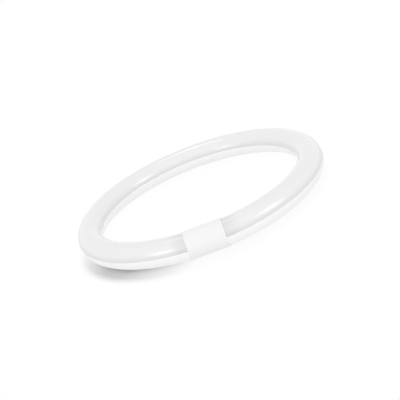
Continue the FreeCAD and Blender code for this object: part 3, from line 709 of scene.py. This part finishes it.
def make_camera():
    """The photograph's view: low over the cap, and rolled so that the ring climbs to the right."""
    turn_c, turn_s = math.cos(VIEW_TURN), math.sin(VIEW_TURN)
    rise_c, rise_s = math.cos(VIEW_ELEVATION), math.sin(VIEW_ELEVATION)
    level_right = Vector((turn_c, turn_s, 0))
    level_down = Vector((turn_s * rise_s, -turn_c * rise_s, -rise_c))
    forward = Vector((-turn_s * rise_c, turn_c * rise_c, -rise_s))
    right = math.cos(VIEW_ROLL) * level_right - math.sin(VIEW_ROLL) * level_down
    down = math.sin(VIEW_ROLL) * level_right + math.cos(VIEW_ROLL) * level_down
    centre_x, centre_y = [(px - IMAGE_PX / 2) / FOCAL_PX for px in RING_CENTRE_PX]
    eye = Vector((0, 0, SEAM_Z)) - VIEW_DISTANCE * (centre_x * right + centre_y * down + forward)
    lens = bpy.data.cameras.new("camera")
    lens.sensor_width = SENSOR_MM
    lens.lens = FOCAL_PX / IMAGE_PX * SENSOR_MM
    camera = bpy.data.objects.new("camera", lens)
    bpy.context.scene.collection.objects.link(camera)
    turned = Matrix((right, -down, -forward)).transposed().to_4x4()
    camera.matrix_world = Matrix.Translation(eye) @ turned
    bpy.context.scene.camera = camera


# The two large mouldings

ring_shape = ring_tree()
neck_shape = neck_tree()
boss_shape = boss_tree()

# PBT plastic from a finely textured mould: an even satin white with no sharp reflections
make_base(moulded_plastic(
    "satin_white_pbt", "#F7F7F7", "#F4F4F4", roughness=0.38, ior=1.55, grain_mm=0.6, grain_depth_mm=0.01,
))

# Opal polycarbonate from a polished mould: a milky grey-white under a hard gloss with slow ripples, and
# painted shade in the second colour near the lap and the cap
make_diffuser(opal_plastic(
    "gloss_opal_polycarbonate", "#EAEAEA", "#D6D6D6",
    roughness=0.1, ior=1.586, ripple_mm=25, ripple_depth_mm=0.01,
))


# The pieces whose solids already have their form

def dress(material, *nodes):
    """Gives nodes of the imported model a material."""
    for node in nodes:
        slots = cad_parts[node].data.materials
        slots.clear()
        slots.append(material)


# PBT plastic from a spark-eroded mould: a soft matt white, with a grain drawn coarser than real to show
dress(moulded_plastic(
    "matt_white_pbt", "#F0F0F0", "#EEEEEE", roughness=0.58, ior=1.55, grain_mm=0.35, grain_depth_mm=0.02,
), "cap_outer_shell", "cap_inner_shell")

# Turned brass under bright nickel, with faint rings from the lathe, and a tail dulled by solder
pins = ["contact_pin_1", "contact_pin_2", "contact_pin_3", "contact_pin_4"]
tail_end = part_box(pins[0])[0].y
dress(two_finishes(
    "nickel_plated_brass",
    main=Finish("#DAD7CF", "#CBC7BD", metallic=1.0, roughness=0.2),
    other=Finish("#C2C3C4", "#AEB0B2", metallic=1.0, roughness=0.42),
    axis="Y", low=tail_end, high=tail_end + PIN_TAIL,
    grain_mm=1.5, line_mm=0.25, line_depth_mm=0.002,
), *pins)

# Rolled aluminium sheet: bare and streaked at the edges, under a chalky white solder mask on top
boards = ["led_board_1", "led_board_2", "led_board_3", "led_board_4"]
board_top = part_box(boards[0])[1].z
dress(two_finishes(
    "white_masked_aluminium",
    main=Finish("#C9CBCC", "#B7B9BB", metallic=1.0, roughness=0.35),
    other=Finish("#F3F3EF", "#ECECE7", metallic=0.0, roughness=0.45),
    axis="Z", low=board_top - SKIN_DEPTH, high=board_top + SKIN_DEPTH,
    grain_mm=6, line_mm=0.2, line_depth_mm=0.003,
), *boards)

# Moulded white LED frames round a grainy yellow phosphor gel
rows = ["led_row_1", "led_row_2", "led_row_3", "led_row_4"]
window_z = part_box(rows[0])[1].z - LED_WINDOW_DEPTH
dress(two_finishes(
    "phosphor_gel_in_white_frame",
    main=Finish("#F4F2EA", "#EDEAE0", metallic=0.0, roughness=0.5),
    other=Finish("#E9C24C", "#DDAE33", metallic=0.0, roughness=0.3),
    axis="Z", low=window_z - SKIN_DEPTH, high=window_z + SKIN_DEPTH,
    grain_mm=0.3, line_mm=0.3, line_depth_mm=0.002,
), *rows)

# Natural nylon: creamy, with a dull waxy sheen
dress(moulded_plastic(
    "natural_nylon", "#EFEBDD", "#E6E1D0",
    roughness=0.45, ior=1.53, grain_mm=0.4, grain_depth_mm=0.01, cloud_mm=4,
), "board_links")

# Cold-headed steel under bright zinc, with a duller shank
screw_low, screw_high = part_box("board_screws")
dress(two_finishes(
    "zinc_plated_steel",
    main=Finish("#C9CCD0", "#B9BCC2", metallic=1.0, roughness=0.28),
    other=Finish("#A9ACB0", "#999CA1", metallic=1.0, roughness=0.45),
    axis="Z", low=screw_low.z, high=screw_high.z - SCREW_HEAD_HEIGHT,
    grain_mm=0.8, line_mm=0.35, line_depth_mm=0.02,
), "board_screws")

# Glass-epoxy laminate: straw edges with the weave's layers, under a glossy green solder mask
board_low, board_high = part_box("driver_board")
dress(two_finishes(
    "green_masked_laminate",
    main=Finish("#1F6B45", "#175A39", metallic=0.0, roughness=0.3),
    other=Finish("#C9B884", "#B8A672", metallic=0.0, roughness=0.7),
    axis="Y", low=board_low.y + SKIN_DEPTH, high=board_high.y - SKIN_DEPTH,
    grain_mm=1.2, line_mm=0.2, line_depth_mm=0.005,
), "driver_board")

# Moulded black epoxy, finely matt, with bright tinned legs
for chip in ("bridge_rectifier", "driver_chip"):
    chip_low, chip_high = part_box(chip)
    dress(two_finishes(
        f"black_epoxy_{chip}",
        main=Finish("#C6C8C9", "#B5B7B9", metallic=1.0, roughness=0.3),
        other=Finish("#1B1B1C", "#242425", metallic=0.0, roughness=0.6),
        axis="Z", low=chip_low.z + LEG_REACH, high=chip_high.z - LEG_REACH,
        grain_mm=0.2, line_mm=0.3, line_depth_mm=0.003,
    ), chip)

# A drawn aluminium can in a dark shrink sleeve, with its end left bare
can_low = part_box("reservoir_capacitor")[0]
dress(two_finishes(
    "sleeved_aluminium_can",
    main=Finish("#23262B", "#2B2F35", metallic=0.0, roughness=0.32),
    other=Finish("#D0D2D3", "#C2C4C6", metallic=1.0, roughness=0.3),
    axis="Y", low=can_low.y - SKIN_DEPTH, high=can_low.y + SKIN_DEPTH,
    grain_mm=3, line_mm=1.5, line_depth_mm=0.01,
), "reservoir_capacitor")

# A sintered ferrite drum, dull and almost black, wound with enamelled copper
drum_low, drum_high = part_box("buck_inductor")
dress(two_finishes(
    "ferrite_and_enamelled_copper",
    main=Finish("#34353A", "#2A2B2F", metallic=0.0, roughness=0.65),
    other=Finish("#B5622F", "#9C4E22", metallic=1.0, roughness=0.3),
    axis="Y",
    low=drum_low.y + INDUCTOR_FLANGE + SKIN_DEPTH,
    high=drum_high.y - INDUCTOR_FLANGE - SKIN_DEPTH,
    grain_mm=0.8, line_mm=0.35, line_depth_mm=0.06,
), "buck_inductor")

# A ceramic rod in a chalky flameproof coating, with one pale band
dress(two_finishes(
    "flameproof_coating",
    main=Finish("#5E8074", "#53746A", metallic=0.0, roughness=0.6),
    other=Finish("#E8E6DC", "#DCD9CC", metallic=0.0, roughness=0.6),
    axis="X", low=-FUSE_BAND / 2, high=FUSE_BAND / 2,
    grain_mm=0.6, line_mm=0.5, line_depth_mm=0.01,
), "fuse_resistor")

# A film winding dipped in epoxy: glossy red-brown with soft runs
dress(moulded_plastic(
    "dipped_epoxy", "#8E3F1E", "#7C3317",
    roughness=0.18, ior=1.55, grain_mm=2, grain_depth_mm=0.03, cloud_mm=3,
), "output_capacitor")

# Soft vinyl insulation, extruded: a low, smooth sheen
dress(moulded_plastic(
    "red_vinyl", "#B3221C", "#A51C17",
    roughness=0.35, ior=1.53, grain_mm=0.5, grain_depth_mm=0.01, cloud_mm=3,
), "led_lead_positive")
dress(moulded_plastic(
    "black_vinyl", "#1D1D1E", "#252526",
    roughness=0.35, ior=1.53, grain_mm=0.5, grain_depth_mm=0.01, cloud_mm=3,
), "led_lead_negative")

make_lights(make_floor())
make_sky()
make_camera()
bpy.context.scene.view_settings.view_transform = "Standard"
